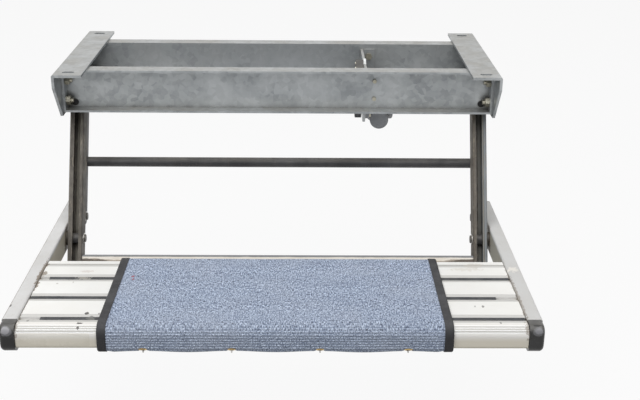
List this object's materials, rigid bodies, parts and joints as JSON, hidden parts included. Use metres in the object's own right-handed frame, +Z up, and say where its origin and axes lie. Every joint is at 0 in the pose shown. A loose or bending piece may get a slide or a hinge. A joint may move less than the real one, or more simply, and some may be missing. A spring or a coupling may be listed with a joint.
{
  "type": "camper entry step",
  "caption": "Electric swing-out entry step for a camper, with an aluminium plank tread under a removable felt mat, carried by a parallelogram linkage from a frame under the floor.",
  "frame": {"origin": "centre of the floor bolt pattern, on the mounting plane under the vehicle floor", "axes": "+X across the step to its right as seen from outside, -Y away from the vehicle, +Z up"},
  "size_m": [0.7, 0.6292, 0.3154],
  "materials": {
    "galvanised_steel": "dull zinc coat",
    "zinc_plated": "zinc plated, dusty",
    "spring_steel": "dark, oiled",
    "bright_steel": "turned",
    "arm_steel": "weathered dark grey coat",
    "link_steel": "dark grey coat",
    "crossbar_coat": "cream coat, dirty below",
    "gear_steel": "greased",
    "bush_plastic": "self-lubricating, black",
    "buffer_rubber": "matt",
    "gearbox_cast": "cast aluminium, clear coat",
    "motor_black": "satin black",
    "black_plastic": "moulded",
    "plunger_plastic": "moulded",
    "arm_coat": "light grey powder coat",
    "cap_plastic": "black, glossy",
    "plank_coat": "warm white powder coat",
    "rivet_metal": "plain",
    "strip_rubber": "ribbed, worn",
    "mat_felt": "ribbed needle felt, blue grey",
    "binding_tape": "woven black tape",
    "eyelet_brass": "pressed, dull"
  },
  "bodies": {
    "base_frame": {"side_bracket_left": "galvanised_steel", "side_bracket_right": "galvanised_steel", "front_cross_channel": "galvanised_steel", "rear_cross_channel": "galvanised_steel", "frame_bolts": "zinc_plated", "frame_nuts": "zinc_plated", "shaft_bushes": "bush_plastic", "frame_pins": "bright_steel", "frame_pin_rings": "spring_steel", "stop_buffers": "buffer_rubber", "motor_plate": "galvanised_steel", "motor_plate_screws": "zinc_plated", "gearbox_housing": "gearbox_cast", "gearbox_screws": "zinc_plated", "motor_can": "motor_black", "motor_end_cap": "black_plastic", "cable_gland": "black_plastic", "limit_switch": "black_plastic", "switch_screws": "zinc_plated"},
    "swing_frame": {"swing_shaft": "bright_steel", "shaft_washers": "zinc_plated", "shaft_rings": "spring_steel", "swing_arm_left": "arm_steel", "swing_arm_right": "arm_steel", "crossbar": "crossbar_coat", "crossbar_screws": "zinc_plated", "hub_collars": "bright_steel", "set_screws": "spring_steel", "sector_gear": "gear_steel", "front_platform_bushes": "bush_plastic"},
    "rear_links": {"rear_link_left": "link_steel", "rear_link_right": "link_steel", "rear_tie": "link_steel", "rear_frame_bushes": "bush_plastic", "rear_platform_bushes": "bush_plastic"},
    "tread_platform": {"side_arm_left": "arm_coat", "side_arm_right": "arm_coat", "end_cap_left": "cap_plastic", "end_cap_right": "cap_plastic", "arm_plugs": "black_plastic", "support_angles": "arm_coat", "platform_pins": "bright_steel", "platform_pin_rings": "spring_steel", "angle_rivets": "rivet_metal", "plank_rear": "plank_coat", "plank_middle": "plank_coat", "plank_front": "plank_coat", "plank_nose": "plank_coat", "grip_strip_rear": "strip_rubber", "grip_strip_middle": "strip_rubber", "grip_strip_front": "strip_rubber", "plank_screws": "zinc_plated", "mat": "mat_felt", "mat_binding_left": "binding_tape", "mat_binding_right": "binding_tape", "mat_eyelets": "eyelet_brass", "mat_springs": "spring_steel"},
    "pinion": {"drive_pinion": "gear_steel", "output_shaft": "bright_steel"},
    "plunger": {"switch_plunger": "plunger_plastic"}
  },
  "joints": [
    {"name": "swing", "type": "hinge", "parent": "base_frame", "child": "swing_frame", "pos_m": [0, -0.045, -0.045], "axis": [1, 0, 0], "range_deg": [0, 61]},
    {"name": "platform_level", "type": "hinge", "parent": "swing_frame", "child": "tread_platform", "pos_m": [0, -0.15021, -0.26071], "axis": [1, 0, 0], "range_deg": [-61, 0]},
    {"name": "rear_swing", "type": "hinge", "parent": "base_frame", "child": "rear_links", "pos_m": [0, 0.045, -0.045], "axis": [1, 0, 0], "range_deg": [0, 61]},
    {"name": "pinion_spin", "type": "hinge", "parent": "base_frame", "child": "pinion", "pos_m": [0.125, 0.00415, -0.07941], "axis": [1, 0, 0], "range_deg": [-183, 0]},
    {"name": "plunger_press", "type": "slide", "parent": "base_frame", "child": "plunger", "axis": [0, -0.6157, 0.788], "range_m": [0, 0.0015], "stiffness_N_per_m": 300}
  ],
  "couplings": [
    {"joint": "platform_level", "follows": "swing", "ratio": -1},
    {"joint": "rear_swing", "follows": "swing", "ratio": 1},
    {"joint": "pinion_spin", "follows": "swing", "ratio": -3}
  ]
}
